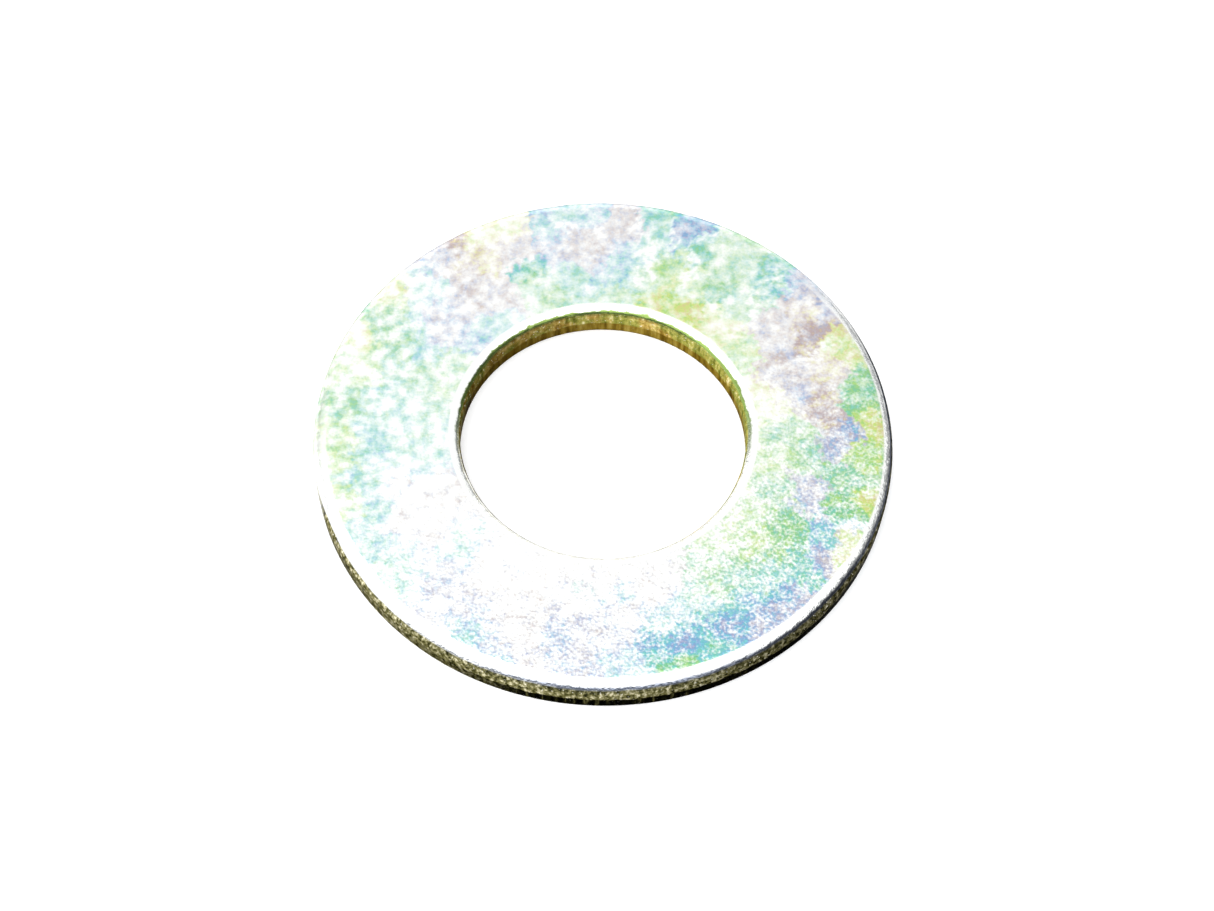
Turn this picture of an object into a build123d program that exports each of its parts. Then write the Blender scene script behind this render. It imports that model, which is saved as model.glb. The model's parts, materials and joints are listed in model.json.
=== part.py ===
from build123d import *
import os

# A flat washer, stamped from sheet steel in one stroke: the punches shear the hole and the rim at
# the same time, so both walls have the same three zones, counted down from the upper face.
#   1. the roll, where the sheet was drawn down before it sheared: a soft quarter ellipse
#   2. the land, sheared smooth and square to the faces, which sets the hole's and the rim's size
#   3. the torn zone, where the metal broke: it leans back from the land, down to the underside
# The origin is the centre of the hole on the underside, and +Z is the washer's axis.

# Driving dimensions, in millimetres
rim_radius = 8.5          # at the rim's land
bore_radius = 4.2         # at the hole's land
thickness = 1.0           # from the underside to the upper face
rim_roll_width = 0.50     # how far in from the land the rim's roll begins
rim_roll_depth = 0.32     # how far below the upper face it ends
bore_roll_width = 0.42    # the same for the hole's roll, which is a little tighter
bore_roll_depth = 0.26
torn_height = 0.42        # top of the torn zone, above the underside
torn_lean = 0.01          # how far the torn zone has leant back at its foot
foot_radius = 0.02        # lower corners, left nearly sharp by the break

# Sizes that follow from them
rim_land_top = thickness - rim_roll_depth
bore_land_top = thickness - bore_roll_depth
rim_roll_start = rim_radius - rim_roll_width
bore_roll_start = bore_radius + bore_roll_width
rim_foot = rim_radius - torn_lean
bore_foot = bore_radius + torn_lean


def section():
    """Half of the cross-section, to the right of the axis: radius across, height up."""
    with BuildSketch(Plane.XZ) as profile:
        with BuildLine():
            Polyline((bore_foot, 0), (rim_foot, 0), (rim_radius, torn_height), (rim_radius, rim_land_top))
            EllipticalCenterArc(
                (rim_roll_start, rim_land_top),
                rim_roll_width,
                rim_roll_depth,
                start_angle=0,
                arc_size=90,
            )
            Line((rim_roll_start, thickness), (bore_roll_start, thickness))
            EllipticalCenterArc(
                (bore_roll_start, bore_land_top),
                bore_roll_width,
                bore_roll_depth,
                start_angle=90,
                arc_size=90,
            )
            Polyline((bore_radius, bore_land_top), (bore_radius, torn_height), (bore_foot, 0))
        make_face()
        fillet(profile.vertices().group_by(Axis.Y)[0], radius=foot_radius)
    return profile.sketch


def washer():
    """The whole washer: its cross-section turned once round the axis."""
    return revolve(section(), axis=Axis.Z)


os.makedirs("parts", exist_ok=True)
export_step(washer(), "parts/washer.step")

print(f"hole {2 * bore_radius:.1f} mm, rim {2 * rim_radius:.1f} mm, thickness {thickness:.1f} mm")
print(f"hole land {bore_land_top - torn_height:.2f} mm, rim land {rim_land_top - torn_height:.2f} mm")
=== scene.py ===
# %% [markdown]
# # A stamped flat washer with a yellow zinc finish
# This lesson makes one small steel washer, 17 mm across. It has only one piece, so all the work
# goes into what a press, a tumbling barrel and a plating bath leave on it: soft rolled edges on
# the upper face, sheared walls that are smooth above and torn below, and a thin chromate film
# that shows straw, green, teal, blue and violet where its thickness changes.

# %% Load the frame
import json
import math

import bpy
import numpy as np
from mathutils import Euler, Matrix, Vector, noise


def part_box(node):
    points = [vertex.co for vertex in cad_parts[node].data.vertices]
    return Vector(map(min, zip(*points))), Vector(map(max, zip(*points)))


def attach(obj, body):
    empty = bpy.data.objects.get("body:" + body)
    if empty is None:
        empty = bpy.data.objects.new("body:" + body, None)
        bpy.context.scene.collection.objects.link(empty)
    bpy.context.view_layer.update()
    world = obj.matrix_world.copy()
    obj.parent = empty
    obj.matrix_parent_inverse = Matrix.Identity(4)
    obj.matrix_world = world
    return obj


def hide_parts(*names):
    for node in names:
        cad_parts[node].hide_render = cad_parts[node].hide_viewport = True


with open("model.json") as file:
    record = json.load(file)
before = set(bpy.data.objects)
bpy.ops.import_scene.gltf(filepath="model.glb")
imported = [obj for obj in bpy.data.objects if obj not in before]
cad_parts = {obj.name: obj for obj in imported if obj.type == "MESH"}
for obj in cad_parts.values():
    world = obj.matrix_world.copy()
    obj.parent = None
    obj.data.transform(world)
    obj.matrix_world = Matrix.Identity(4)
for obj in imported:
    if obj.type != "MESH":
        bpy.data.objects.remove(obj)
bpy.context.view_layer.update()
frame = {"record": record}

# %% [markdown]
# ## Sizes
# The washer's own sizes come from the design: the rim and the thickness from its box, the hole
# from the bore that the record states. The small sizes of the edges are the ones that the
# design's cross-section has. All are in millimetres here, because a washer is thought of in
# millimetres, and MM turns them into Blender's metres.

# %% Sizes of the washer
MM = 0.001
low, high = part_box("washer")
bore_mount = next(m for m in frame["record"]["mounts"] if m["name"] == "bore")

rim_radius = high[0] / MM
thickness = (high[2] - low[2]) / MM
bore_radius = bore_mount["dims"]["r_mm"]
ring_middle = (rim_radius + bore_radius) / 2

rim_roll_width, rim_roll_depth = 0.50, 0.32
bore_roll_width, bore_roll_depth = 0.42, 0.26
torn_height, torn_lean = 0.42, 0.01
foot_radius = 0.02
print(f"rim {rim_radius:.2f} mm, bore {bore_radius:.2f} mm, thickness {thickness:.2f} mm")

# %% [markdown]
# ## Camera
# The washer lies flat and is seen from above and in front, 58 degrees up, through a long lens
# from 75 mm away. The camera is rolled by less than two degrees, as one held by hand is, and it
# aims a hair off the middle of the hole.

# %% Camera
camera_distance = 75.0
camera_elevation = math.radians(58.1)
camera_roll = math.radians(1.59)
camera_lens = 75.1
film_width = 36.0
aim = Vector((0.127, -0.273, 0.0))

camera_data = bpy.data.cameras.new("Camera")
camera_data.lens = camera_lens
camera_data.sensor_width = film_width
camera_data.clip_start = 1 * MM
camera_data.clip_end = 10.0
camera = bpy.data.objects.new("Camera", camera_data)
bpy.context.scene.collection.objects.link(camera)

camera_place = camera_distance * Vector((0, -math.cos(camera_elevation), math.sin(camera_elevation)))
camera.location = camera_place * MM
facing = (aim - camera_place).to_track_quat("-Z", "Y").to_matrix().to_4x4()
camera.rotation_euler = (facing @ Euler((0, 0, camera_roll)).to_matrix().to_4x4()).to_euler()
bpy.context.scene.camera = camera
print("camera at", [round(v, 4) for v in camera.location])

# %% [markdown]
# ## Helpers for node trees
# A tree reads best when each line says what is worked out. `put` adds one node and fills its
# inputs, with a number or with another node's output. `calc` and `vector` do the same for the
# two maths nodes and hand back the result, so a formula in nodes looks almost like a formula.
# `ramp_between`, `cloud` and `mix` are the three nodes that the finish uses most.

# %% Helpers for node trees
def feed(tree, socket, value):
    """Fills a socket with a link, if value is another socket, or with a plain value."""
    if isinstance(value, bpy.types.NodeSocket):
        tree.links.new(value, socket)
    else:
        socket.default_value = value


def put(tree, kind, inputs=None, **settings):
    """Adds a node, sets its properties, fills the inputs named, and returns the node."""
    node = tree.nodes.new(kind)
    for name, value in settings.items():
        setattr(node, name, value)
    for name, value in (inputs or {}).items():
        feed(tree, node.inputs[name], value)
    return node


def calc(tree, operation, *terms):
    """The result of one Math node."""
    node = put(tree, "ShaderNodeMath", operation=operation)
    for socket, term in zip(node.inputs, terms):
        feed(tree, socket, term)
    return node.outputs[0]


def vector(tree, operation, *terms):
    """The result of one Vector Math node."""
    node = put(tree, "ShaderNodeVectorMath", operation=operation)
    sockets = [node.inputs[0], node.inputs["Scale"]] if operation == "SCALE" else node.inputs
    for socket, term in zip(sockets, terms):
        feed(tree, socket, term)
    return node.outputs["Value" if operation in ("LENGTH", "DOT_PRODUCT") else "Vector"]


def ramp_between(tree, value, start, end):
    """0 where value is at start, 1 where it is at end, and a soft S between."""
    node = put(
        tree,
        "ShaderNodeMapRange",
        {"Value": value, "From Min": start, "From Max": end},
        interpolation_type="SMOOTHSTEP",
    )
    return node.outputs["Result"]


def cloud(tree, place, size, detail=2.0, roughness=0.5, shift=0.0):
    """Noise from 0 to 1 whose lumps are about size millimetres across, at place in millimetres."""
    moved = vector(tree, "ADD", place, (shift, shift, shift))
    node = put(
        tree,
        "ShaderNodeTexNoise",
        {"Vector": moved, "Scale": 1 / size, "Detail": detail, "Roughness": roughness},
    )
    return node.outputs[0]


def mix(tree, share, first, second):
    """A number between first and second."""
    node = put(tree, "ShaderNodeMix", {"Factor": share}, data_type="FLOAT")
    feed(tree, node.inputs["A"], first)
    feed(tree, node.inputs["B"], second)
    return node.outputs["Result"]


print("helpers: feed, put, calc, vector, ramp_between, cloud, mix")

# %% [markdown]
# ## One strip of the cross-section, turned round the axis
# A washer is a body of revolution, so its whole shape is one rule: a cross-section turned round
# the axis. The section falls into strips: flat faces, straight walls and rounded corners. This
# node group makes any of them. It starts from a flat grid, reads its two directions as the angle
# round the axis and the way along the strip, and moves each point to its place. A rounded strip
# is a quarter ellipse, and it either leaves upright and arrives level or the other way about.

# %% The strip group
STRIP_SIZES = ("Start Radius", "Start Height", "End Radius", "End Height", "Roundness", "Leaves Upright")


def strip_group():
    """A node group that turns one strip of the section round the axis."""
    tree = bpy.data.node_groups.new("Turned Strip", "GeometryNodeTree")
    face = tree.interface
    for name in STRIP_SIZES:
        face.new_socket(name, in_out="INPUT", socket_type="NodeSocketFloat")
    for name in ("Segments", "Rows"):
        face.new_socket(name, in_out="INPUT", socket_type="NodeSocketInt")
    face.new_socket("Strip", in_out="OUTPUT", socket_type="NodeSocketGeometry")
    given = put(tree, "NodeGroupInput").outputs

    grid = put(
        tree,
        "GeometryNodeMeshGrid",
        {
            "Size X": 1.0,
            "Size Y": 1.0,
            "Vertices X": calc(tree, "ADD", given["Segments"], 1),
            "Vertices Y": calc(tree, "ADD", given["Rows"], 1),
        },
    )
    place = put(tree, "ShaderNodeSeparateXYZ", {0: put(tree, "GeometryNodeInputPosition").outputs[0]})
    turn = calc(tree, "MULTIPLY", calc(tree, "ADD", place.outputs["X"], 0.5), math.tau)
    along = calc(tree, "ADD", place.outputs["Y"], 0.5)

    bend = calc(tree, "MULTIPLY", along, math.pi / 2)
    quick = calc(tree, "SINE", bend)
    slow = calc(tree, "SUBTRACT", 1.0, calc(tree, "COSINE", bend))
    upright = given["Leaves Upright"]
    out_share = mix(tree, given["Roundness"], along, mix(tree, upright, quick, slow))
    up_share = mix(tree, given["Roundness"], along, mix(tree, upright, slow, quick))
    radius = mix(tree, out_share, given["Start Radius"], given["End Radius"])
    height = mix(tree, up_share, given["Start Height"], given["End Height"])

    target = put(
        tree,
        "ShaderNodeCombineXYZ",
        {
            "X": calc(tree, "MULTIPLY", radius, calc(tree, "COSINE", turn)),
            "Y": calc(tree, "MULTIPLY", radius, calc(tree, "SINE", turn)),
            "Z": height,
        },
    )
    moved = put(
        tree,
        "GeometryNodeSetPosition",
        {"Geometry": grid.outputs["Mesh"], "Position": target.outputs[0]},
    )
    put(tree, "NodeGroupOutput", {"Strip": moved.outputs[0]})
    return tree


turned_strip = strip_group()
print("strip group:", len(turned_strip.nodes), "nodes")

# %% [markdown]
# ## The whole ring
# The section is walked once round, from the inner end of the underside out to the rim, up the
# rim, in across the upper face and down the hole, so every strip's faces point out of the metal.
# The strips meet edge to edge and are merged into one closed skin. The rows are spent where
# they show: on the upper face, the rolls and the torn zones. A lathed curve would give the same
# ring, but here each strip keeps a name and its own number of rows.

# %% The washer's tree
SEGMENTS = 800
SEED = 7
MERGE_GAP = 0.002

tree_inputs = {
    "Rim Radius": rim_radius,
    "Bore Radius": bore_radius,
    "Thickness": thickness,
    "Rim Roll Width": rim_roll_width,
    "Rim Roll Depth": rim_roll_depth,
    "Bore Roll Width": bore_roll_width,
    "Bore Roll Depth": bore_roll_depth,
    "Torn Height": torn_height,
    "Torn Lean": torn_lean,
    "Foot Radius": foot_radius,
    "Tear Depth": 0.012,
    "Roll Waver": 0.030,
    "Face Waver": 0.010,
}

# A strip's roundness, and whether it leaves upright
STRAIGHT = (0.0, 0.0)
LEVEL_FIRST = (1.0, 0.0)
UPRIGHT_FIRST = (1.0, 1.0)


def section_strips(tree, given):
    """Where the walk starts, and each strip's name, end point, form and rows."""
    rim, bore, thick = given["Rim Radius"], given["Bore Radius"], given["Thickness"]
    foot, torn = given["Foot Radius"], given["Torn Height"]
    rim_foot = calc(tree, "SUBTRACT", rim, given["Torn Lean"])
    bore_foot = calc(tree, "ADD", bore, given["Torn Lean"])
    rim_under = calc(tree, "SUBTRACT", rim_foot, foot)
    bore_under = calc(tree, "ADD", bore_foot, foot)
    rim_land_top = calc(tree, "SUBTRACT", thick, given["Rim Roll Depth"])
    bore_land_top = calc(tree, "SUBTRACT", thick, given["Bore Roll Depth"])
    rim_face = calc(tree, "SUBTRACT", rim, given["Rim Roll Width"])
    bore_face = calc(tree, "ADD", bore, given["Bore Roll Width"])
    strips = [
        ("underside", rim_under, 0.0, STRAIGHT, 16),
        ("rim foot", rim_foot, foot, LEVEL_FIRST, 3),
        ("rim torn zone", rim, torn, STRAIGHT, 10),
        ("rim land", rim, rim_land_top, STRAIGHT, 4),
        ("rim roll", rim_face, thick, UPRIGHT_FIRST, 10),
        ("upper face", bore_face, thick, STRAIGHT, 48),
        ("bore roll", bore, bore_land_top, LEVEL_FIRST, 10),
        ("bore land", bore, torn, STRAIGHT, 5),
        ("bore torn zone", bore_foot, foot, STRAIGHT, 10),
        ("bore foot", bore_under, 0.0, UPRIGHT_FIRST, 3),
    ]
    return (bore_under, 0.0), strips


def turned_ring(tree, given):
    """All strips of the section, turned, joined and merged into one closed skin."""
    (radius, height), strips = section_strips(tree, given)
    join = put(tree, "GeometryNodeJoinGeometry")
    for name, end_radius, end_height, (roundness, upright), rows in strips:
        strip = put(tree, "GeometryNodeGroup", node_tree=turned_strip, label=name)
        sizes = (radius, height, end_radius, end_height, roundness, upright)
        values = {**dict(zip(STRIP_SIZES, sizes)), "Segments": SEGMENTS, "Rows": rows}
        for key, value in values.items():
            feed(tree, strip.inputs[key], value)
        tree.links.new(strip.outputs[0], join.inputs[0])
        radius, height = end_radius, end_height
    merged = put(
        tree,
        "GeometryNodeMergeByDistance",
        {"Geometry": join.outputs[0], "Distance": MERGE_GAP},
    )
    return merged.outputs[0]


print("the tree's sizes, in millimetres:", tree_inputs)

# %% [markdown]
# ## Marks of the press and the barrel
# A press shears each wall cleanly for part of its height and tears the rest, which leaves fine
# upright streaks under a ragged line. The tumbling barrel leaves the rolls and the upper face
# slightly uneven. A bump map could fake all of it from afar, but not where the washer's own
# outline shows it, so every point is moved along its normal. All marks go inwards, and so the
# washer keeps its measured size.
#
# The tree also stores two numbers on every point, because the finish depends on them and a
# material can't find them by itself: how level the skin was before it was marked, and how far
# into the torn zone it lies.

# %% Marks cut into the ring
SEED_STEP = (3.1, 1.7, 2.3)
TEAR_LINE_LUMP, TEAR_LINE_REACH, TEAR_LINE_BLUR = 0.5, 0.22, 0.05
STREAK_WIDTH, SHALLOW_STREAK, STREAK_RANGE = 0.16, 0.2, 0.8
ROLL_LUMP, FACE_LUMP = 0.45, 0.9
UPRIGHT_WALL = (0.9, 0.4)
INTO_ROLL, OUT_OF_ROLL = (0.05, 0.5), (1.0, 0.93)
ONTO_FACE = (0.93, 0.999)
FOOT_SHARE = 1.5


def remember(tree, geometry, name, value):
    """Stores a number on every point, under a name that materials can read."""
    node = put(
        tree,
        "GeometryNodeStoreNamedAttribute",
        {"Geometry": geometry, "Name": name, "Value": value},
        data_type="FLOAT",
        domain="POINT",
    )
    return node.outputs[0]


def torn_share(tree, given, seeded, height, level):
    """1 on a wall below its ragged tear line, 0 above the line and wherever the skin is level."""
    flattened = vector(tree, "MULTIPLY", seeded, (1.0, 1.0, 0.15))
    lumps = calc(tree, "SUBTRACT", cloud(tree, flattened, TEAR_LINE_LUMP, 3.0), 0.5)
    ragged = calc(tree, "MULTIPLY", lumps, TEAR_LINE_REACH)
    tear_line = calc(tree, "ADD", given["Torn Height"], ragged)
    line_end = calc(tree, "SUBTRACT", tear_line, TEAR_LINE_BLUR)
    below_line = ramp_between(tree, height, tear_line, line_end)
    return calc(tree, "MULTIPLY", below_line, ramp_between(tree, level, *UPRIGHT_WALL))


def level_to_keep(tree, given, height, level):
    """How level the skin is, with the rounded foot counted as wall and not as face."""
    foot_top = calc(tree, "MULTIPLY", given["Foot Radius"], FOOT_SHARE)
    at_foot = calc(tree, "LESS_THAN", height, foot_top)
    bent = calc(tree, "MULTIPLY", at_foot, ramp_between(tree, level, 1.0, 0.99))
    return calc(tree, "SUBTRACT", level, bent)


def depth_of_marks(tree, given, seeded, level, torn):
    """How deep the marks go at a point: torn streaks, wavering rolls and the uneven face."""
    drawn_out = vector(tree, "MULTIPLY", seeded, (1.0, 1.0, 0.25))
    streaks = calc(tree, "MULTIPLY", cloud(tree, drawn_out, STREAK_WIDTH, 3.0, 0.6), STREAK_RANGE)
    tear = calc(tree, "MULTIPLY", torn, calc(tree, "ADD", SHALLOW_STREAK, streaks))
    tear_depth = calc(tree, "MULTIPLY", tear, given["Tear Depth"])

    past_wall = ramp_between(tree, level, *INTO_ROLL)
    on_roll = calc(tree, "MULTIPLY", past_wall, ramp_between(tree, level, *OUT_OF_ROLL))
    roll_lumps = calc(tree, "MULTIPLY", on_roll, cloud(tree, seeded, ROLL_LUMP))
    roll_depth = calc(tree, "MULTIPLY", roll_lumps, given["Roll Waver"])

    on_face = ramp_between(tree, level, *ONTO_FACE)
    face_lumps = calc(tree, "MULTIPLY", on_face, cloud(tree, seeded, FACE_LUMP, 3.0, 0.6))
    face_depth = calc(tree, "MULTIPLY", face_lumps, given["Face Waver"])
    return calc(tree, "ADD", tear_depth, calc(tree, "ADD", roll_depth, face_depth))


def marked_ring(tree, given, ring):
    """Stores how level and how torn each point is, then presses the marks into the ring."""
    place = put(tree, "GeometryNodeInputPosition").outputs[0]
    normal = put(tree, "GeometryNodeInputNormal").outputs[0]
    seeded = vector(tree, "ADD", place, vector(tree, "SCALE", SEED_STEP, given["Seed"]))
    level = calc(tree, "ABSOLUTE", put(tree, "ShaderNodeSeparateXYZ", {0: normal}).outputs["Z"])
    height = put(tree, "ShaderNodeSeparateXYZ", {0: place}).outputs["Z"]

    torn = torn_share(tree, given, seeded, height, level)
    ring = remember(tree, ring, "level", level_to_keep(tree, given, height, level))
    ring = remember(tree, ring, "torn", torn)
    depth = depth_of_marks(tree, given, seeded, level, torn)
    inward = vector(tree, "SCALE", normal, calc(tree, "MULTIPLY", depth, -1.0))
    pressed = put(tree, "GeometryNodeSetPosition", {"Geometry": ring, "Offset": inward})
    return pressed.outputs[0]


print("deepest torn streak:", tree_inputs["Tear Depth"], "mm")

# %% [markdown]
# ## From the tree to a plain mesh
# The section was drawn in millimetres, so the tree shrinks the ring to metres at its end. It
# then makes any instances real and gives the skin its material, because an export keeps
# neither an instance nor a modifier. The tree is run once, its result is kept as an ordinary
# mesh, and the modifier goes. Each size is a named input, so another washer is a few numbers
# away.

# %% Build the tree
def washer_tree(material):
    """The complete tree: the ring in millimetres, its marks, then metres and the material."""
    tree = bpy.data.node_groups.new("Stamped Washer", "GeometryNodeTree")
    for name in tree_inputs:
        tree.interface.new_socket(name, in_out="INPUT", socket_type="NodeSocketFloat")
    tree.interface.new_socket("Seed", in_out="INPUT", socket_type="NodeSocketInt")
    tree.interface.new_socket("Washer", in_out="OUTPUT", socket_type="NodeSocketGeometry")
    given = put(tree, "NodeGroupInput").outputs

    marked = marked_ring(tree, given, turned_ring(tree, given))
    metres = put(tree, "GeometryNodeTransform", {"Geometry": marked, "Scale": (MM, MM, MM)})
    smooth = put(tree, "GeometryNodeSetShadeSmooth", {"Geometry": metres.outputs[0]})
    real = put(tree, "GeometryNodeRealizeInstances", {"Geometry": smooth.outputs[0]})
    finished = put(tree, "GeometryNodeSetMaterial", {"Geometry": real.outputs[0], "Material": material})
    put(tree, "NodeGroupOutput", {"Washer": finished.outputs[0]})
    return tree


def plain_mesh(name, tree, values):
    """Runs the tree once, with the values given, and returns its result as an ordinary object."""
    holder = bpy.data.objects.new(name, bpy.data.meshes.new(name + "_start"))
    bpy.context.scene.collection.objects.link(holder)
    modifier = holder.modifiers.new("Washer", "NODES")
    modifier.node_group = tree
    for item in tree.interface.items_tree:
        if item.in_out == "INPUT" and item.name in values:
            modifier[item.identifier] = values[item.name]
    graph = bpy.context.evaluated_depsgraph_get()
    evaluated = holder.evaluated_get(graph)
    mesh = bpy.data.meshes.new_from_object(evaluated, preserve_all_data_layers=True, depsgraph=graph)
    mesh.name = name
    holder.modifiers.clear()
    holder.data = mesh
    return holder


plate = bpy.data.materials.new("yellow_zinc_plate")
washer = plain_mesh("washer_plated", washer_tree(plate), {**tree_inputs, "Seed": SEED})
print("washer mesh:", len(washer.data.vertices), "points,", 2 * len(washer.data.polygons), "triangles")

# %% [markdown]
# ## Where the film is thick and where it is thin
# A chromate film is a few hundred nanometres thick, and its colour is interference, as on a soap
# bubble: each thickness has its hue, and neighbouring hues follow in one fixed order. After the
# last hue the first comes round again, so the hues stand on a ring, and a hue is a part of a
# turn. The film drains and dries unevenly, so the washer wears blooms of colour.
#
# Noise alone would scatter the blooms anywhere. Each one below is listed instead: how
# far right of the hole's middle and how far back it lies, its size, all in millimetres, then its
# hue, and how densely it covers the bright zinc.

# %% Hues of the film
HUES = {
    "plum": 0.00,
    "mauve": 0.08,
    "violet": 0.17,
    "blue": 0.26,
    "sky": 0.35,
    "cyan": 0.41,
    "teal": 0.46,
    "green": 0.57,
    "lime": 0.69,
    "straw": 0.80,
    "gold": 0.92,
}
print(len(HUES), "hues, from", min(HUES.values()), "to", max(HUES.values()), "of a turn")

# %% Blooms on the far side
FAR_BLOOMS = [
    # right, back, size, hue, cover
    (-5.2, 6.0, 0.45, "violet", 0.54),
    (-4.7, 6.4, 0.30, "plum", 0.78),
    (-4.4, 5.6, 0.35, "plum", 0.52),
    (-3.8, 6.0, 0.50, "gold", 0.60),
    (-3.4, 7.2, 0.50, "straw", 0.44),
    (-4.0, 4.9, 0.50, "mauve", 0.58),
    (-3.2, 4.7, 0.50, "mauve", 0.54),
    (-3.0, 6.6, 0.50, "mauve", 0.54),
    (-2.3, 5.7, 0.35, "teal", 0.86),
    (-2.1, 5.0, 0.45, "green", 0.56),
    (-1.8, 7.2, 0.40, "sky", 0.68),
    (-1.6, 6.4, 0.45, "violet", 0.60),
    (-1.4, 4.8, 0.35, "green", 0.72),
    (-1.1, 5.5, 0.45, "teal", 0.62),
    (-0.7, 6.6, 0.60, "mauve", 0.68),
    (-0.6, 7.6, 0.45, "sky", 0.70),
    (0.3, 5.8, 0.50, "sky", 0.74),
    (0.3, 7.3, 0.50, "mauve", 0.66),
    (0.5, 6.6, 0.30, "blue", 0.66),
    (0.4, 4.8, 0.35, "green", 0.60),
    (1.3, 6.9, 0.45, "teal", 0.68),
    (1.6, 7.6, 0.35, "teal", 0.76),
    (1.8, 5.7, 0.50, "lime", 0.74),
    (1.1, 5.3, 0.40, "green", 0.62),
    (1.6, 4.8, 0.40, "straw", 0.84),
    (2.5, 7.1, 0.35, "blue", 0.86),
    (2.8, 6.5, 0.35, "teal", 0.80),
    (2.5, 5.3, 0.35, "lime", 0.52),
    (2.5, 4.3, 0.45, "straw", 0.90),
]
print(len(FAR_BLOOMS), "blooms on the far side")

# %% Blooms on the right
RIGHT_BLOOMS = [
    (3.2, 5.3, 0.40, "green", 0.80),
    (3.3, 4.4, 0.25, "straw", 0.32),
    (3.7, 6.2, 0.50, "green", 0.60),
    (3.5, 3.7, 0.45, "straw", 0.60),
    (4.1, 4.7, 0.45, "green", 0.60),
    (4.3, 2.9, 0.40, "lime", 0.66),
    (5.0, 5.4, 0.40, "teal", 0.82),
    (5.7, 5.2, 0.35, "violet", 0.80),
    (4.9, 3.8, 0.45, "mauve", 0.62),
    (5.6, 4.3, 0.35, "plum", 0.72),
    (6.2, 4.4, 0.25, "gold", 0.48),
    (6.7, 4.3, 0.30, "violet", 0.74),
    (6.5, 3.8, 0.30, "plum", 0.92),
    (6.0, 3.1, 0.35, "plum", 0.94),
    (6.5, 2.6, 0.35, "gold", 0.62),
    (7.1, 3.2, 0.35, "straw", 0.75),
    (5.2, 2.5, 0.50, "mauve", 0.70),
    (6.8, 1.9, 0.35, "plum", 0.66),
    (7.3, 1.5, 0.40, "green", 0.84),
    (6.4, 1.1, 0.45, "plum", 0.82),
    (5.7, 1.4, 0.40, "violet", 0.66),
    (4.8, 1.0, 0.50, "straw", 0.40),
    (7.8, 0.3, 0.35, "straw", 0.90),
    (7.3, 0.1, 0.30, "blue", 0.86),
    (6.7, -0.4, 0.40, "violet", 0.80),
    (7.5, -0.7, 0.30, "lime", 0.84),
    (6.0, -0.6, 0.50, "green", 0.72),
    (5.3, 0.1, 0.40, "green", 0.66),
    (4.9, -0.9, 0.45, "lime", 0.56),
    (7.1, -1.4, 0.45, "green", 0.80),
    (5.9, -2.0, 0.45, "violet", 0.66),
    (5.0, -2.1, 0.50, "green", 0.70),
    (4.2, -2.5, 0.40, "lime", 0.50),
    (7.1, -2.4, 0.40, "green", 0.94),
    (7.6, -2.2, 0.30, "straw", 1.00),
    (7.2, -3.1, 0.20, "sky", 0.30),
    (5.3, -3.1, 0.45, "green", 0.84),
    (6.4, -3.3, 0.35, "sky", 0.82),
    (7.0, -3.9, 0.40, "straw", 0.60),
    (6.3, -4.1, 0.35, "violet", 0.78),
    (5.7, -4.3, 0.40, "teal", 0.84),
    (4.4, -3.7, 0.50, "lime", 0.70),
    (3.3, -3.5, 0.45, "lime", 0.42),
]
print(len(RIGHT_BLOOMS), "blooms on the right")

# %% Blooms on the near side
NEAR_BLOOMS = [
    (4.7, -4.7, 0.45, "teal", 0.74),
    (3.6, -4.8, 0.50, "green", 0.64),
    (2.7, -4.6, 0.40, "green", 0.55),
    (5.1, -5.4, 0.35, "blue", 0.92),
    (5.5, -5.6, 0.30, "violet", 0.72),
    (4.1, -5.6, 0.45, "sky", 0.78),
    (3.0, -5.6, 0.45, "teal", 0.58),
    (4.0, -6.3, 0.40, "blue", 0.96),
    (4.7, -6.3, 0.35, "violet", 0.78),
    (3.1, -6.5, 0.40, "sky", 0.98),
    (3.3, -7.0, 0.35, "cyan", 1.02),
    (2.5, -6.8, 0.40, "blue", 0.94),
    (2.3, -7.6, 0.35, "green", 0.98),
    (1.7, -7.3, 0.35, "cyan", 1.00),
    (1.3, -7.0, 0.25, "blue", 0.90),
    (1.9, -6.1, 0.45, "sky", 0.48),
    (1.4, -5.0, 0.70, "mauve", 0.14),
    (0.7, -5.4, 0.35, "sky", 0.46),
    (0.9, -7.7, 0.40, "sky", 0.56),
    (0.4, -6.7, 0.45, "violet", 0.42),
    (-0.6, -7.2, 0.50, "violet", 0.58),
    (-1.3, -6.8, 0.35, "blue", 0.60),
    (-1.3, -5.6, 0.40, "violet", 0.40),
    (-0.5, -5.2, 0.35, "teal", 0.36),
    (-2.2, -6.2, 0.70, "mauve", 0.32),
    (-2.8, -7.2, 0.35, "blue", 0.56),
    (-3.5, -6.8, 0.40, "sky", 0.62),
    # These two nearly bare blooms leave bright zinc at the near left of the hole: partly thin film,
    # partly a painted highlight
    (-0.8, -4.7, 0.80, "mauve", 0.06),
    (-2.6, -4.6, 0.80, "mauve", 0.06),
]
print(len(NEAR_BLOOMS), "blooms on the near side")

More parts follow.
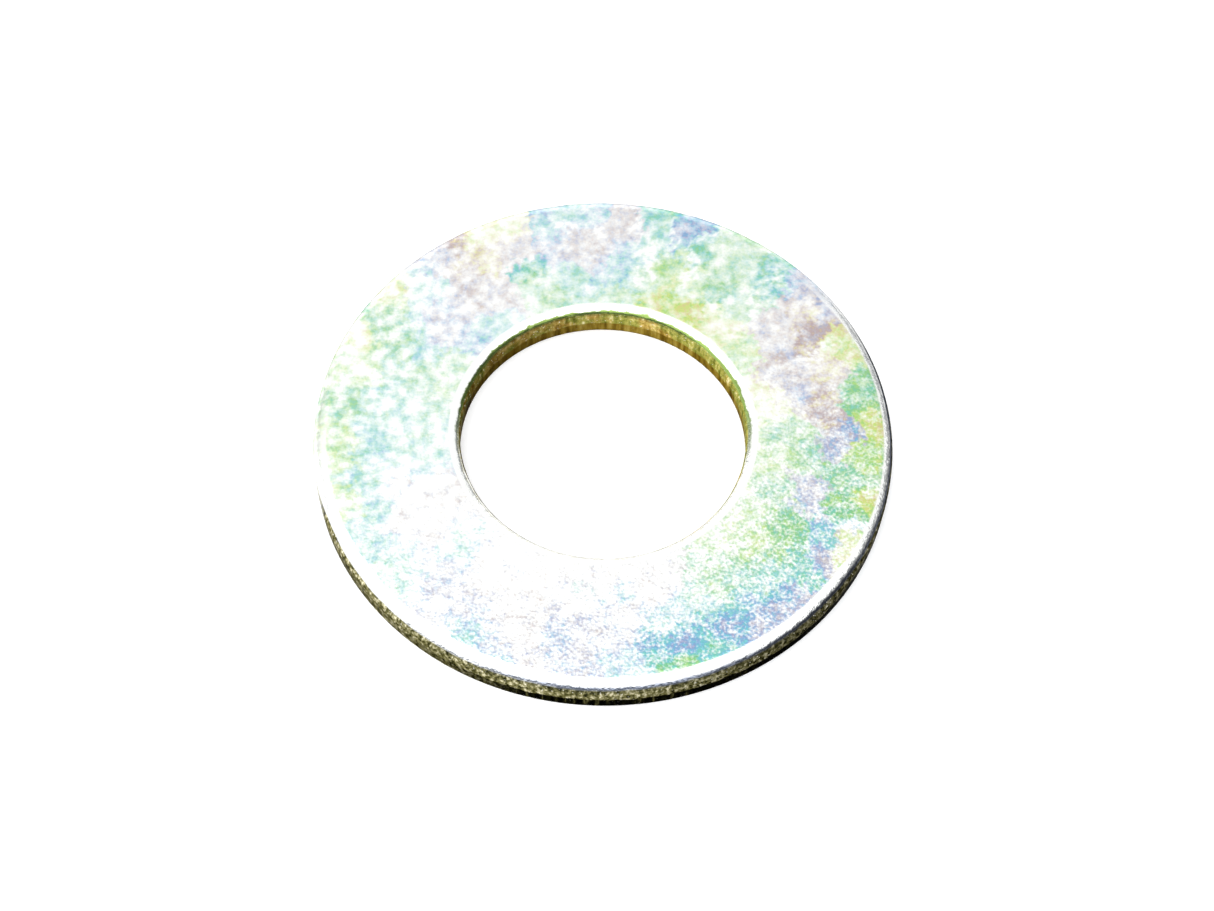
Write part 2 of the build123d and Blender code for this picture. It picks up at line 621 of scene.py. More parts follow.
# %% Blooms on the left
LEFT_BLOOMS = [
    (-4.3, -5.4, 0.80, "violet", 0.40),
    (-3.9, -3.9, 0.60, "cyan", 0.36),
    (-5.6, -5.2, 0.50, "teal", 0.36),
    (-5.8, -4.2, 0.45, "cyan", 0.55),
    (-6.7, -3.6, 0.40, "cyan", 0.58),
    (-7.2, -3.1, 0.30, "lime", 0.49),
    (-5.0, -2.8, 0.90, "mauve", 0.22),
    (-6.5, -2.6, 0.45, "cyan", 0.54),
    (-7.4, -2.4, 0.30, "lime", 0.54),
    (-6.9, -1.7, 0.45, "cyan", 0.60),
    (-7.6, -1.3, 0.30, "lime", 0.62),
    (-5.1, -1.3, 0.45, "cyan", 0.45),
    (-6.8, -0.6, 0.45, "cyan", 0.70),
    (-7.7, -0.4, 0.30, "lime", 0.64),
    (-5.6, -0.3, 0.60, "teal", 0.40),
    (-7.6, 0.8, 0.35, "green", 0.70),
    (-6.4, 0.5, 0.50, "teal", 0.54),
    (-4.8, 1.0, 0.40, "green", 0.54),
    (-6.2, 1.5, 0.40, "teal", 0.60),
    (-5.6, 1.6, 0.35, "green", 0.60),
    (-7.4, 1.9, 0.45, "lime", 0.42),
    (-6.4, 2.6, 0.40, "green", 0.68),
    (-7.2, 2.9, 0.35, "straw", 0.53),
    (-5.4, 2.5, 0.40, "cyan", 0.62),
    (-4.4, 2.2, 0.40, "green", 0.52),
    (-4.0, 2.9, 0.35, "blue", 0.74),
    (-3.4, 3.6, 0.40, "cyan", 0.54),
    (-6.3, 3.6, 0.45, "green", 0.66),
    (-5.8, 3.3, 0.30, "teal", 0.68),
    (-4.8, 3.7, 0.60, "violet", 0.44),
    (-5.6, 4.3, 0.40, "cyan", 0.49),
    (-6.4, 4.8, 0.35, "straw", 0.45),
    (-5.3, 5.1, 0.45, "cyan", 0.36),
]
BLOOMS = FAR_BLOOMS + RIGHT_BLOOMS + NEAR_BLOOMS + LEFT_BLOOMS
print(len(BLOOMS), "blooms")

# %% [markdown]
# ## Strokes rubbed through the film
# In the barrel washers slide over each other, and a corner of one rubs a light stroke through
# the film of another. A stroke is a soft line from one point to a second, in millimetres, and
# its strength is how much of the cover it takes away.

# %% Rubbed strokes
RUBS = [
    # right and back at one end, the same at the other, width, strength
    (1.15, 5.6, 1.20, 6.8, 0.16, 0.45),
    (2.45, 5.4, 2.50, 6.7, 0.12, 0.40),
    (-1.6, 7.4, 0.0, 7.1, 0.14, 0.40),
    (4.3, 4.2, 4.6, 5.0, 0.12, 0.40),
    (4.9, 5.0, 5.3, 5.8, 0.10, 0.35),
    (6.9, 3.2, 5.7, 2.6, 0.10, 0.50),
    (5.1, 5.9, 5.9, 4.6, 0.08, 0.30),
    (0.9, 7.8, 0.75, 7.0, 0.10, 0.35),
    (2.1, 7.6, 1.95, 6.6, 0.10, 0.35),
    (3.2, 7.2, 2.9, 6.9, 0.10, 0.35),
    (3.9, 3.5, 3.6, 3.4, 0.15, 0.35),
    (7.9, -1.5, 7.95, -1.9, 0.12, 0.50),
]
print(len(RUBS), "rubbed strokes")

# %% [markdown]
# ## Blending the blooms
# Between blooms the film changes smoothly, so every point takes a share of each bloom that fades
# with distance. Hues can't be averaged as plain numbers, because the way from the last to the
# first would run back through all the others. So each hue is turned into a direction on its
# ring, and the directions are averaged: hues that are neighbours give one between them, and
# opposite ones cancel to a short arrow, which the material shows as grey. Before that each
# point is shifted by noise, broad and fine, so that the borders wander as real ones do. This
# noise is seeded, because Blender otherwise draws it afresh each time it starts.
#
# The three numbers, two for the direction and one for the cover, are stored on the points,
# which lie closer together than the smallest bloom.

# %% Blending helpers
BROAD_WARP_SIZE, BROAD_WARP_REACH = 0.6, 0.35
FINE_WARP_SIZE, FINE_WARP_REACH = 0.16, 0.38
FADE = 1.4
NEVER_NOTHING = 1e-9


def blend_of_blooms(places):
    """The film's mean direction on the hue ring, and its cover, blended from the blooms."""
    centres = np.array([bloom[:2] for bloom in BLOOMS])
    sizes = np.array([size for _, _, size, _, _ in BLOOMS])
    turns = math.tau * np.array([HUES[hue] for _, _, _, hue, _ in BLOOMS])
    covers = np.array([cover for _, _, _, _, cover in BLOOMS])
    gap = np.linalg.norm(places[:, None, :] - centres[None, :, :], axis=2) / sizes
    weight = np.exp(-FADE * gap**2) + NEVER_NOTHING
    weight /= weight.sum(axis=1, keepdims=True)
    return weight @ np.cos(turns), weight @ np.sin(turns), weight @ covers


def rubbed_off(places):
    """How much of the cover each stroke of the rubs has taken away at each place."""
    loss = np.zeros(len(places))
    for right, back, to_right, to_back, width, strength in RUBS:
        start = np.array((right, back))
        stroke = np.array((to_right, to_back)) - start
        along = np.clip((places - start) @ stroke / (stroke @ stroke), 0.0, 1.0)
        gap = np.linalg.norm(places - start - along[:, None] * stroke, axis=1)
        loss += strength * np.exp(-((gap / width) ** 2))
    return loss


def film_maps(places):
    """The film's direction on the hue ring and its cover at each place, with wandering borders."""
    noise.seed_set(SEED)
    broad = np.array([noise.noise_vector(Vector(place) / BROAD_WARP_SIZE) for place in places])
    fine = np.array([noise.noise_vector(Vector(place) / FINE_WARP_SIZE) for place in places])
    wandered = places[:, :2] + BROAD_WARP_REACH * broad[:, :2] + FINE_WARP_REACH * fine[:, :2]
    film_cos, film_sin, cover = blend_of_blooms(wandered)
    return film_cos, film_sin, cover - rubbed_off(wandered)


print(f"borders wander up to about {BROAD_WARP_REACH + FINE_WARP_REACH:.2f} mm")

# %% The film stored on the ring
places = np.empty(3 * len(washer.data.vertices))
washer.data.vertices.foreach_get("co", places)
places = places.reshape(-1, 3) / MM
maps = dict(zip(("film_cos", "film_sin", "cover"), film_maps(places)))
for name, values in maps.items():
    layer = washer.data.attributes.new(name, "FLOAT", "POINT")
    layer.data.foreach_set("value", values.astype(np.float32))
print(f"{len(BLOOMS)} blooms, cover from {maps['cover'].min():.2f} to {maps['cover'].max():.2f}")

# %% [markdown]
# ## The finish
# The plate is one metal with several looks. On the upper face bright zinc grains stand between
# darker grains that carry the film's colour. On the rolls the barrel has rubbed the film away,
# so they are clean and bright. On the sheared walls the film is thick and dull, olive and gold,
# and kept dark partly as painted shade, with a few sparks that are partly painted glints. The
# torn zone is painted nearly black on the rim as shade, and it is brown in the hole.
#
# Separate materials for faces and walls would leave hard seams on a skin that has none, so one
# shader blends them all by the numbers stored on the points. Its colours come first: the film
# round its ring of hues, then ramps from dark grain to bright grain for each kind of wall.

# %% Colours of the film and the metal
FILM_STOPS = [
    (0.00, (0.47, 0.36, 0.36)),
    (0.08, (0.47, 0.43, 0.45)),
    (0.17, (0.33, 0.35, 0.52)),
    (0.26, (0.20, 0.38, 0.60)),
    (0.35, (0.17, 0.50, 0.57)),
    (0.46, (0.18, 0.55, 0.45)),
    (0.57, (0.20, 0.52, 0.25)),
    (0.69, (0.34, 0.61, 0.17)),
    (0.80, (0.57, 0.67, 0.20)),
    (0.90, (0.62, 0.55, 0.24)),
    (1.00, (0.47, 0.36, 0.36)),
]
GREY_FILM = (0.44, 0.45, 0.44)
BRIGHT_ZINC = (0.95, 0.95, 0.915)
DUST = (0.55, 0.52, 0.50)
# The slate of the rim's edge line is a painted reflection of the dimmer room in front
SLATE_REFLECTION = (0.31, 0.34, 0.42)
GREEN_EDGE = (0.24, 0.34, 0.09)
# The sparks are bright specks in the walls' colour: partly clean grains, partly painted glints
SPARK = (0.95, 0.92, 0.80)
EDGE_TINT = (0.3, 0.3, 0.3, 1.0)
print(len(FILM_STOPS), "stops round the ring of hues")

# %% Colours of the walls
# The olive and gold are the film's own; the walls' colours are kept dark partly as painted shade for the
# floor they mirror
OLIVE_WALL = [
    (0.36, (0.02, 0.02, 0.008)),
    (0.45, (0.10, 0.095, 0.035)),
    (0.54, (0.24, 0.22, 0.10)),
    (0.66, (0.74, 0.69, 0.48)),
]
GREEN_WALL = [
    (0.32, (0.07, 0.07, 0.012)),
    (0.46, (0.24, 0.25, 0.05)),
    (0.58, (0.46, 0.42, 0.11)),
    (0.70, (0.95, 0.90, 0.60)),
]
GOLDEN_WALL = [
    (0.32, (0.13, 0.08, 0.010)),
    (0.46, (0.35, 0.23, 0.05)),
    (0.58, (0.60, 0.45, 0.14)),
    (0.72, (0.95, 0.86, 0.58)),
]
# The rim's torn zone: its streaks are the torn steel's own, its near-black is painted shade for the dark
# floor that the wall mirrors
SHADED_TEAR = [
    (0.42, (0.002, 0.002, 0.001)),
    (0.56, (0.014, 0.014, 0.006)),
    (0.70, (0.12, 0.11, 0.05)),
]
BROWN_TEAR = [
    (0.34, (0.12, 0.075, 0.010)),
    (0.52, (0.26, 0.18, 0.030)),
    (0.76, (0.42, 0.33, 0.09)),
]
print("ramps for three smooth walls and two torn ones")

# %% [markdown]
# ## Small helpers for the finish
# A material is built from the same kind of nodes as the ring, so `put` and `calc` serve again.
# Four more helpers keep it readable: one reads a stored number, one makes a colour ramp, one
# blends two colours, and `unrest` is noise about zero, which can be added to anything to make
# it uneven.

# %% Helpers for the finish
def attribute(tree, name):
    """A number that the mesh stores on its points."""
    return put(tree, "ShaderNodeAttribute", attribute_name=name).outputs["Fac"]


def colour_ramp(tree, value, stops):
    """A Color Ramp with the stops given, as (place, colour)."""
    node = put(tree, "ShaderNodeValToRGB", {"Fac": value})
    ramp = node.color_ramp
    while len(ramp.elements) < len(stops):
        ramp.elements.new(0.5)
    for element, (place, colour) in zip(ramp.elements, stops):
        element.position = place
        element.color = (*colour, 1.0)
    return node.outputs["Color"]


def blend(tree, share, first, second):
    """A colour between first and second."""
    node = put(tree, "ShaderNodeMix", {"Factor": share}, data_type="RGBA")
    for socket, colour in ((node.inputs[6], first), (node.inputs[7], second)):
        feed(tree, socket, colour if isinstance(colour, bpy.types.NodeSocket) else (*colour, 1.0))
    return node.outputs[2]


def unrest(tree, place, size, gain, detail=1.0, shift=0.0):
    """Noise about zero: a cloud that gain makes strong or faint."""
    rough = 0.6 if detail > 1.0 else 0.5
    lumps = calc(tree, "SUBTRACT", cloud(tree, place, size, detail, rough, shift), 0.5)
    return calc(tree, "MULTIPLY", lumps, gain)


print("helpers: attribute, colour_ramp, blend, unrest")

# %% [markdown]
# ## Where on the washer a point is
# The washer was plated and rubbed unevenly, so its finish changes from side to side, and the barrel
# has rubbed one side more than the other. Light and shade from the left are painted in as well:
# the rim's wall paler on the left and darker to the right, the hole's wall darker on its left,
# and the wall's dark colour higher up the roll on the near side. All later nodes ask one of the
# questions below, so each is answered once and has a plain name. The answers come from the
# point's own place on the washer, never from where the camera stands, and so the finish stays
# put from every side.

# %% Where a point is
# The way to the side that the barrel rubbed most, clockwise from the back, then spans in mm
RUBBED_WAY = math.radians(159)
HALF_BORDER = 0.1
RIGHT_SIDE = (6.3, 8.2)
FAR_SIDE = (-1.5, 1.0)
# Near side, where the slate reflection and the wall's dark colour high up the roll are painted as shade
SHADED_NEAR_SIDE = (-2.5, 0.5)


def whereabouts(tree):
    """Numbers that say where a point is, under plain names."""
    place = vector(tree, "SCALE", put(tree, "ShaderNodeTexCoord").outputs["Object"], 1 / MM)
    apart = put(tree, "ShaderNodeSeparateXYZ", {0: place}).outputs
    reach = vector(tree, "LENGTH", vector(tree, "MULTIPLY", place, (1.0, 1.0, 0.0)))
    rubbed_way = (math.sin(RUBBED_WAY), math.cos(RUBBED_WAY), 0.0)
    down_way = vector(tree, "DOT_PRODUCT", place, rubbed_way)
    return {
        "place": place,
        "right": apart["X"],
        "down_way": down_way,
        "on_bore": ramp_between(tree, reach, ring_middle + HALF_BORDER, ring_middle - HALF_BORDER),
        "right_side": ramp_between(tree, apart["X"], *RIGHT_SIDE),
        "far_side": ramp_between(tree, apart["Y"], *FAR_SIDE),
        "shaded_near_side": ramp_between(tree, down_way, *SHADED_NEAR_SIDE),
        "level": attribute(tree, "level"),
        "torn": attribute(tree, "torn"),
    }


print("the barrel rubbed most at", round(math.degrees(RUBBED_WAY)), "degrees clockwise from the back")

# %% [markdown]
# ## The upper face
# Zinc grows in grains, and the film takes on some and leaves others bare. So the face isn't
# painted with a smooth colour. A mottle of broad clumps and fine grains is added to the cover,
# and where the sum is high the film shows, where it is low bare zinc does. The fine grains stand
# out more on the side that the barrel rubbed most, and the clumps are sharper on the left. The
# hue wanders a little from clump to clump and from grain to grain, and fine dull specks lie over
# all of it.

# %% The upper face
CLUMP_SIZE, SOFT_CLUMP, CRISP_CLUMP = 0.36, 2.35, 3.1
GRAIN_SIZE, FAINT_GRAIN, STRONG_GRAIN = 0.095, 0.25, 2.5
WANDER_SIZE, WANDER_GAIN = 0.6, 0.45
JITTER_SIZE, JITTER_GAIN = 0.11, 0.36
DUST_SIZE, FAINT_DUST, STRONG_DUST = 0.055, 0.12, 0.50
BARE_COVER, FULL_COVER = -0.18, 0.92
THIN_COAT, THICK_COAT = 0.74, 0.98
PURE_HUE = 0.35
GRAINY_SIDE = (-3.0, 7.0)
CRISP_SIDE = (-2.0, -6.0)
DENSE_COVER = (0.50, 0.95)
DUSTY = (0.58, 0.76)


def film_tint(tree, place):
    """The film's own colour: its hue with some unrest, and grey where opposite hues meet."""
    wander = unrest(tree, place, WANDER_SIZE, WANDER_GAIN, detail=3.0, shift=11.0)
    jitter = unrest(tree, place, JITTER_SIZE, JITTER_GAIN, shift=17.0)
    film_cos, film_sin = attribute(tree, "film_cos"), attribute(tree, "film_sin")
    hue = calc(tree, "DIVIDE", calc(tree, "ARCTAN2", film_sin, film_cos), math.tau)
    hue = calc(tree, "FRACT", calc(tree, "ADD", hue, calc(tree, "ADD", wander, jitter)))
    square = calc(tree, "ADD", calc(tree, "POWER", film_cos, 2.0), calc(tree, "POWER", film_sin, 2.0))
    purity = ramp_between(tree, square, 0.0, PURE_HUE)
    return blend(tree, purity, GREY_FILM, colour_ramp(tree, hue, FILM_STOPS))


def face_colour(tree, where):
    """The film's colour over bright zinc grains, and the relief that the grains have."""
    place = where["place"]
    grainy = ramp_between(tree, where["down_way"], *GRAINY_SIDE)
    crisp = ramp_between(tree, where["right"], *CRISP_SIDE)
    clump_gain = mix(tree, crisp, SOFT_CLUMP, CRISP_CLUMP)
    grain_gain = mix(tree, grainy, FAINT_GRAIN, STRONG_GRAIN)
    clumps = unrest(tree, place, CLUMP_SIZE, clump_gain, detail=3.0)
    grains = unrest(tree, place, GRAIN_SIZE, grain_gain, shift=5.0)
    speck = calc(tree, "ADD", clumps, grains)

    cover = attribute(tree, "cover")
    usual = mix(tree, cover, BARE_COVER, FULL_COVER)
    coated = put(tree, "ShaderNodeClamp", {"Value": calc(tree, "ADD", usual, speck)}).outputs[0]
    deep = mix(tree, ramp_between(tree, cover, *DENSE_COVER), THIN_COAT, THICK_COAT)
    faces = blend(tree, calc(tree, "MULTIPLY", coated, deep), BRIGHT_ZINC, film_tint(tree, place))

    dust = ramp_between(tree, cloud(tree, place, DUST_SIZE, 1.0, 0.5, shift=7.0), *DUSTY)
    dusted = calc(tree, "MULTIPLY", dust, mix(tree, grainy, FAINT_DUST, STRONG_DUST))
    return blend(tree, dusted, faces, DUST), speck


print(f"clumps {CLUMP_SIZE} mm, grains {GRAIN_SIZE} mm, dust {DUST_SIZE} mm")

# %% [markdown]
# ## The walls
# Freshly sheared metal is rough and takes a thick film, so the walls are dull, and their colours
# are kept dark partly as painted shade for the dark floor that they mirror. On the rim olive and
# gold specks lie above the torn line, and below it the torn steel is painted nearly black as
# shade, faint on the left and full to the right; the rim's wall is also painted lighter on the
# left and darker on the right. In the hole golden and green patches take turns, the torn steel is
# brown, and the wall is painted darker on its left as shade. Both walls use the same two noises,
# round grains and upright streaks, and differ only in their ramps, so they look cut by one tool.

# %% The rim's wall
# Painted shade: the torn zone's near-black is full from the middle rightwards and faint on the left
SMALL_GRAIN, UPRIGHT_STREAK = 0.13, 0.16
# Painted light and shade: the rim's wall is lighter on the left and darker to the right
TEAR_SHADE_SIDE, FAINT_TEAR_SHADE = (-6.0, -1.5), 0.30
# Painted highlight: the far left of the rim's wall turns pale, where a grazing wall mirrors the bright
# floor
SHADED_SIDE, RIM_LIGHT, RIM_DARK = (-2.0, 7.0), 1.1, 0.35
GLARE_SIDE, PAINTED_GLARE = (-7.85, -8.35), 0.75


def rim_wall(tree, where, wall_grain, streaks):
    """Olive and gold specks above the torn line, painted near-black shade below it, and painted light on
    the left and painted shade to the right.
    """
    smooth = colour_ramp(tree, wall_grain, OLIVE_WALL)
    # Painted shade: the torn zone's near-black is full to the right and faint to the left
    tear_shade = mix(tree, ramp_between(tree, where["right"], *TEAR_SHADE_SIDE), FAINT_TEAR_SHADE, 1.0)
    torn_and_shaded = calc(tree, "MULTIPLY", where["torn"], tear_shade)
    wall = blend(tree, torn_and_shaded, smooth, colour_ramp(tree, streaks, SHADED_TEAR))
    # Painted light and shade: the rim's wall lighter on the left, darker to the right
    shaded = ramp_between(tree, where["right"], *SHADED_SIDE)
    wall = vector(tree, "SCALE", wall, mix(tree, shaded, RIM_LIGHT, RIM_DARK))
    # Painted highlight: the far left of the wall is blended towards bright zinc
    glare_share = calc(tree, "MULTIPLY", ramp_between(tree, where["right"], *GLARE_SIDE), PAINTED_GLARE)
    return blend(tree, glare_share, wall, BRIGHT_ZINC)


print("rim: specks", SMALL_GRAIN, "mm, streaks", UPRIGHT_STREAK, "mm")

# %% The hole's wall
STREAK_IN_GRAIN = 0.45
GREENER_SIDE, GREENER = (0.0, 4.0), 0.12
PATCH_SIZE, PATCH_BORDER = 0.8, (0.42, 0.58)
SPARK_SIZE, SPARKLING = 0.06, (0.66, 0.78)
SMOOTH_SPARK, TORN_SPARK = 0.8, 0.1


def bore_wall(tree, where, wall_grain, streaks, painted_shade):
    """Golden and green patches in the smooth band of the hole, brown in its torn zone, all scaled by
    painted shade that darkens its left side.
    """
    grain = mix(tree, STREAK_IN_GRAIN, wall_grain, streaks)
    greener = mix(tree, ramp_between(tree, where["right"], *GREENER_SIDE), 0.0, GREENER)
    lumps = cloud(tree, where["place"], PATCH_SIZE, 3.0, 0.6, shift=41.0)
    patches = ramp_between(tree, calc(tree, "ADD", lumps, greener), *PATCH_BORDER)
    golden = colour_ramp(tree, grain, GOLDEN_WALL)
    smooth = blend(tree, patches, golden, colour_ramp(tree, grain, GREEN_WALL))
    wall = blend(tree, where["torn"], smooth, colour_ramp(tree, streaks, BROWN_TEAR))
    return vector(tree, "SCALE", wall, painted_shade)


def wall_colour(tree, where, bore_painted_shade):
    """Both walls, with sparks where a clean grain shows, partly painted glints, and the grain for their
    relief.
    """
    place = where["place"]
    rounded = vector(tree, "MULTIPLY", place, (1.0, 1.0, 0.8))
    drawn_out = vector(tree, "MULTIPLY", place, (1.0, 1.0, 0.15))
    wall_grain = cloud(tree, rounded, SMALL_GRAIN, 3.0, 0.7, shift=23.0)
    streaks = cloud(tree, drawn_out, UPRIGHT_STREAK, 3.0, 0.6, shift=31.0)
    outer = rim_wall(tree, where, wall_grain, streaks)
    inner = bore_wall(tree, where, wall_grain, streaks, bore_painted_shade)
    walls = blend(tree, where["on_bore"], outer, inner)
    # Sparks: partly clean grains, partly painted glints
    sparks = ramp_between(tree, cloud(tree, place, SPARK_SIZE, 1.0, 0.5, shift=37.0), *SPARKLING)
    shown = calc(tree, "MULTIPLY", sparks, mix(tree, where["torn"], SMOOTH_SPARK, TORN_SPARK))
    return blend(tree, shown, walls, SPARK), wall_grain


print("hole: patches", PATCH_SIZE, "mm, sparks", SPARK_SIZE, "mm")

# %% [markdown]
# ## From face to wall
# Between the upper face and a wall lies the roll, and three things happen on the way down. First
# the film is rubbed off to bright metal. Then a narrow edge line follows: on the rim a slate line,
# a painted reflection of the dimmer room in front, and in the hole a green line, where the film
# begins again. Last the wall begins, high up the roll on the near side as painted shade and low
# on the far and left side as painted light. How level the skin is tells how far down the roll a
# point lies: 1 is the flat face and 0 the upright wall. Each change is a pair of such numbers,
# where it starts and where it is complete, and a little noise keeps the lines from looking ruled.

# %% Edges of the plate
# Sides are millimetres along a way across the washer, and all other pairs are levels
RUBBED_SIDE = (-4.5, -0.5)
FIRST_BEND, FULL_BEND = 0.998, 0.985
FIRST_BEND_RIGHT, FULL_BEND_RIGHT = 0.965, 0.930
BORE_RAGGED, RIM_RAGGED, RIGHT_RAGGED = 0.35, 0.15, 0.03
BORE_EDGE, RIM_EDGE, RIGHT_EDGE = (0.88, 0.80), (0.93, 0.76), (0.86, 0.66)
# Painted light and shade on the rolls: far and left the face's finish runs down the roll, near the
# wall's dark colour starts high
BORE_SHEAR, LIT_SHEAR = (0.66, 0.42), (0.30, 0.10)
SHADED_NEAR_SHEAR, RIGHT_SHEAR = (0.72, 0.58), (0.62, 0.32)
# The slate line is a painted reflection, faint on the left and full from the middle rightwards
SLATE_SIDE, FAINT_SLATE = (-6.0, 0.0), 0.3


def rolled_share(tree, where):
    """1 where the barrel has rubbed the film off a roll, 0 on the upper face."""
    rubbed_side = ramp_between(tree, where["down_way"], *RUBBED_SIDE)
    rubbed = calc(tree, "MAXIMUM", where["on_bore"], rubbed_side)
    first_bend = mix(tree, where["right_side"], FIRST_BEND, FIRST_BEND_RIGHT)
    full_bend = mix(tree, where["right_side"], FULL_BEND, FULL_BEND_RIGHT)
    return calc(tree, "MULTIPLY", rubbed, ramp_between(tree, where["level"], first_bend, full_bend))


def ragged_level(tree, where):
    """How level a point is, with noise that keeps the edge lines from looking ruled."""
    on_rim = mix(tree, where["right_side"], RIM_RAGGED, RIGHT_RAGGED)
    gain = mix(tree, where["on_bore"], on_rim, BORE_RAGGED)
    return calc(tree, "ADD", where["level"], unrest(tree, where["place"], CLUMP_SIZE, gain, detail=3.0))


def edge_share(tree, where, ragged):
    """1 in the edge line at the foot of a roll and below it: slate on the rim, a painted reflection, and
    green in the hole.
    """
    top, low = [
        mix(tree, where["on_bore"], mix(tree, where["right_side"], rim, right), bore)
        for rim, right, bore in zip(RIM_EDGE, RIGHT_EDGE, BORE_EDGE)
    ]
    # On the rim the line is a painted reflection of the dim room, on the near side and faint to the left
    slate_side = mix(tree, ramp_between(tree, where["right"], *SLATE_SIDE), FAINT_SLATE, 1.0)
    on_rim = calc(tree, "MULTIPLY", where["shaded_near_side"], slate_side)
    shown = mix(tree, where["on_bore"], on_rim, where["far_side"])
    return calc(tree, "MULTIPLY", ramp_between(tree, ragged, top, low), shown)


def sheared_share(tree, where, ragged):
    """1 on a wall, 0 on the faces and the rolls; the wall's colour starts high up the roll on the near
    side as painted shade, and low on the far and left side as painted light.
    """
    top, low = [
        mix(
            tree,
            where["on_bore"],
            mix(tree, where["shaded_near_side"], lit, mix(tree, where["right_side"], dull, right)),
            bore,
        )
        for lit, dull, right, bore in zip(LIT_SHEAR, SHADED_NEAR_SHEAR, RIGHT_SHEAR, BORE_SHEAR)
    ]
    return ramp_between(tree, ragged, top, low)


print("edge lines between the levels", RIM_EDGE, "on the rim and", BORE_EDGE, "in the hole")

# %% [markdown]
# ## The plate's shader
# Everything meets here. The colours are laid over each other from the face outwards: film, bare
# roll, edge line, wall. The plate is metal all over, so its colour is the colour of what it
# reflects. A real rough wall reflects less at a grazing angle than a smooth metal does, and a
# dark edge tint gives it that. Bumps only carry the fine relief of the grains, two hundredths of
# a millimetre, and the rolls are smoother than the face because the barrel has polished them.

# %% The plate's shader
# Painted light and shade on the hole's wall: darker on its left, lighter on its right
BORE_LIT_SIDE, BORE_DARK, BORE_LIGHT = (-4.0, 1.5), 0.32, 1.12
# The painted slate reflection is painted darker to the right as shade
SLATE_DARK_SIDE, SLATE_DARK = (0.0, 6.5), 0.22
DIM_GREEN = 0.45
BUMP_STRENGTH, BUMP_DEPTH = 0.35, 0.02
ROUGH_FACE, ROUGH_ROLL, ROUGH_WALL = 0.34, 0.24, 0.50


def edge_colour(tree, where, bore_painted_shade):
    """Slate at the rim, a painted reflection of the dimmer room, painted darker to the right as shade,
    and green in the hole, dimmed with its wall's painted shade.
    """
    green = vector(tree, "SCALE", GREEN_EDGE, mix(tree, bore_painted_shade, DIM_GREEN, 1.0))
    # Painted shade: the slate reflection darkens to the right
    dark_side = ramp_between(tree, where["right"], *SLATE_DARK_SIDE)
    slate = vector(tree, "SCALE", SLATE_REFLECTION, mix(tree, dark_side, 1.0, SLATE_DARK))
    return blend(tree, where["on_bore"], slate, green)


def plate_nodes(material):
    """Builds the plate's shader: faces, rubbed rolls, edges and walls."""
    material.use_nodes = True
    tree = material.node_tree
    tree.nodes.clear()
    where = whereabouts(tree)
    # Painted light and shade: the hole's wall and its green line darker on the left, lighter on the
    # right
    bore_painted_shade = mix(tree, ramp_between(tree, where["right"], *BORE_LIT_SIDE), BORE_DARK, BORE_LIGHT)
    faces, speck = face_colour(tree, where)
    walls, wall_grain = wall_colour(tree, where, bore_painted_shade)

    rolled = rolled_share(tree, where)
    ragged = ragged_level(tree, where)
    edged = edge_share(tree, where, ragged)
    sheared = sheared_share(tree, where, ragged)
    colour = blend(tree, rolled, faces, BRIGHT_ZINC)
    colour = blend(tree, edged, colour, edge_colour(tree, where, bore_painted_shade))
    colour = blend(tree, sheared, colour, walls)

    height = mix(tree, sheared, speck, wall_grain)
    relief = {"Strength": BUMP_STRENGTH, "Distance": BUMP_DEPTH * MM, "Height": height}
    bump = put(tree, "ShaderNodeBump", relief)
    shader = put(
        tree,
        "ShaderNodeBsdfPrincipled",
        {
            "Base Color": colour,
            "Metallic": 1.0,
            "Roughness": mix(tree, sheared, mix(tree, rolled, ROUGH_FACE, ROUGH_ROLL), ROUGH_WALL),
            "Specular Tint": EDGE_TINT,
            "Normal": bump.outputs[0],
        },
    )
    put(tree, "ShaderNodeOutputMaterial", {"Surface": shader.outputs[0]})


plate_nodes(plate)
print("plate material:", len(plate.node_tree.nodes), "nodes")

# %% [markdown]
# ## The floor
# A small part is best seen on a plain pale sheet, and so the washer lies on one. A sheet that
# only glowed white would swallow the shadow, and the washer would seem to float. So this one is
# rough paper with a slight glow, just enough to keep the shadow pale. It lies a few thousandths
# of a millimetre below the washer, so that the two skins never fight for the same place.

# %% Floor
FLOOR_GAP = 0.005
FLOOR_HALF = 500
PAPER = (0.93, 0.93, 0.93, 1.0)
PAPER_ROUGHNESS = 0.9
WHITE = (1.0, 1.0, 1.0, 1.0)
PAPER_GLOW = 0.25

floor_mesh = bpy.data.meshes.new("floor")
turns = ((-1, -1), (1, -1), (1, 1), (-1, 1))
corners = [(x * FLOOR_HALF * MM, y * FLOOR_HALF * MM, -FLOOR_GAP * MM) for x, y in turns]
floor_mesh.from_pydata(corners, [], [(0, 1, 2, 3)])
floor = bpy.data.objects.new("floor", floor_mesh)
bpy.context.scene.collection.objects.link(floor)

paper = bpy.data.materials.new("pale_paper")
paper.use_nodes = True
paper_shader = paper.node_tree.nodes["Principled BSDF"]
paper_shader.inputs["Base Color"].default_value = PAPER
paper_shader.inputs["Roughness"].default_value = PAPER_ROUGHNESS
paper_shader.inputs["Emission Color"].default_value = WHITE
paper_shader.inputs["Emission Strength"].default_value = PAPER_GLOW
floor_mesh.materials.append(paper)
print("floor:", 2 * FLOOR_HALF, "mm square")

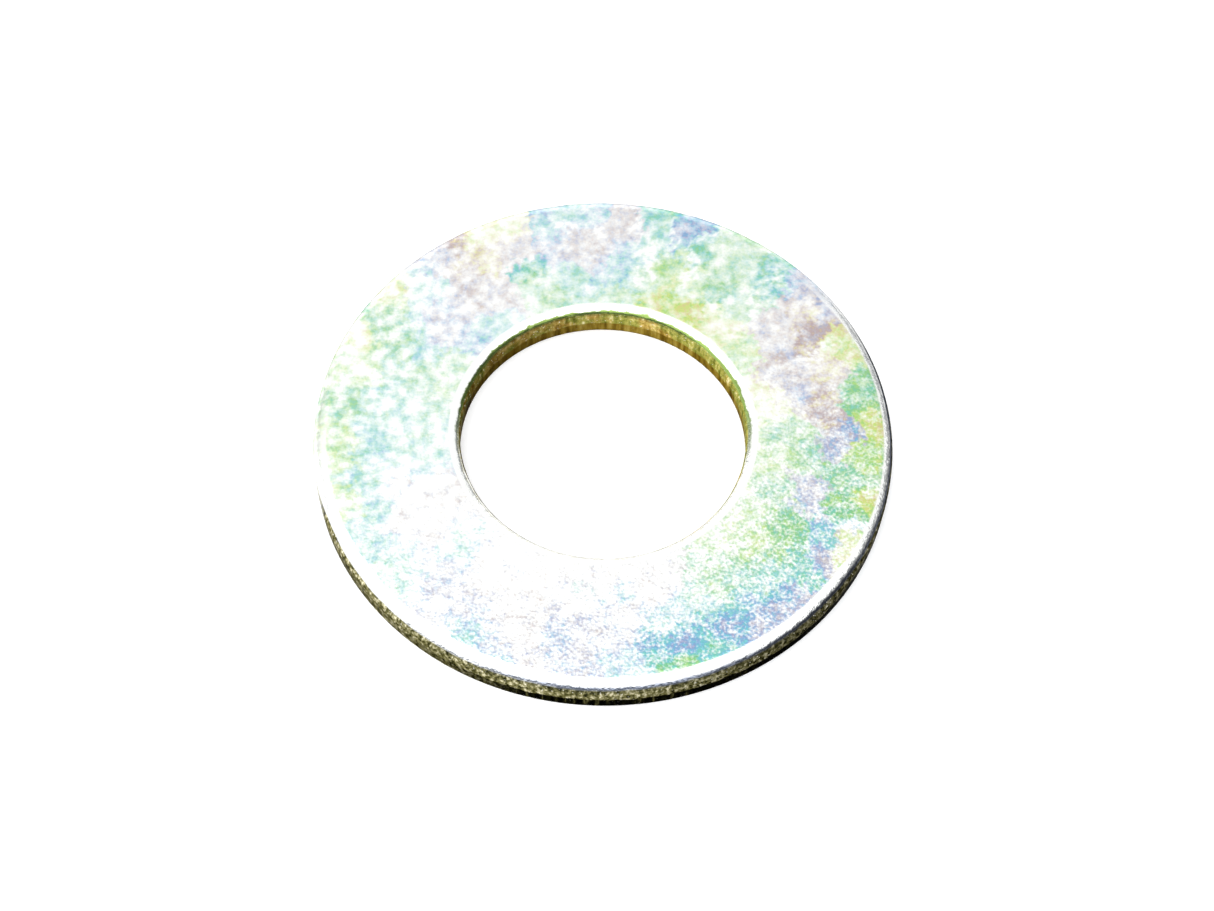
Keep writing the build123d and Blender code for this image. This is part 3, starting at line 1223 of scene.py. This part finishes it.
# %% [markdown]
# ## The lights
# Bright metal has hardly any colour of its own: it shows what stands round it. So the lights are
# large soft boxes, placed where the washer mirrors them. Broad panels behind and above fill the
# upper face, one to the left brightens the left rim, and a small strong key gives the shadow.
# The room in front stays dimmer, and the near side of the rolls darkens as it turns down to
# the rim. A box's energy is worked out from its brightness and its size, so either can be
# changed without upsetting the other.

# %% Light
SKY, SKY_STRENGTH = (0.90, 0.94, 1.0, 1.0), 0.33
SOFT_BOXES = [
    # name, place and aim in metres, width, depth, brightness
    ("back_panel", (0.0, 0.95, 0.60), (0.0, 0.951, 0.0), 2.4, 1.8, 0.77),
    ("front_panel", (-0.30, -0.33, 0.60), (-0.30, -0.331, 0.0), 1.9, 0.76, 1.90),
    ("back_wall", (-0.3, 1.5, 0.20), (0.0, 0.0, 0.0), 2.4, 0.6, 1.4),
    ("left_wall", (-1.2, 0.0, 0.25), (0.0, 0.0, 0.0), 1.4, 0.5, 1.4),
    ("key", (-0.30, 0.06, 0.50), (0.0, 0.0, 0.0), 0.14, 0.14, 10.0),
]


def soft_box(name, place, look_at, width, depth, brightness):
    """A rectangular area light; brightness is what a mirror would show."""
    lamp = bpy.data.lights.new(name, "AREA")
    lamp.shape = "RECTANGLE"
    lamp.size = width
    lamp.size_y = depth
    lamp.energy = brightness * math.pi * width * depth
    box = bpy.data.objects.new(name, lamp)
    box.location = place
    box.rotation_euler = (Vector(look_at) - Vector(place)).to_track_quat("-Z", "Y").to_euler()
    bpy.context.scene.collection.objects.link(box)


for box in SOFT_BOXES:
    soft_box(*box)

world = bpy.data.worlds.new("studio")
world.use_nodes = True
background = world.node_tree.nodes["Background"]
background.inputs["Color"].default_value = SKY
background.inputs["Strength"].default_value = SKY_STRENGTH
bpy.context.scene.world = world
bpy.context.scene.view_settings.view_transform = "Standard"
print(len(SOFT_BOXES), "soft boxes and a pale sky")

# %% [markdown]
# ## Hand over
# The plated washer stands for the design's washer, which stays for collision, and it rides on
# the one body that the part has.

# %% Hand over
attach(washer, "root")
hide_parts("washer")
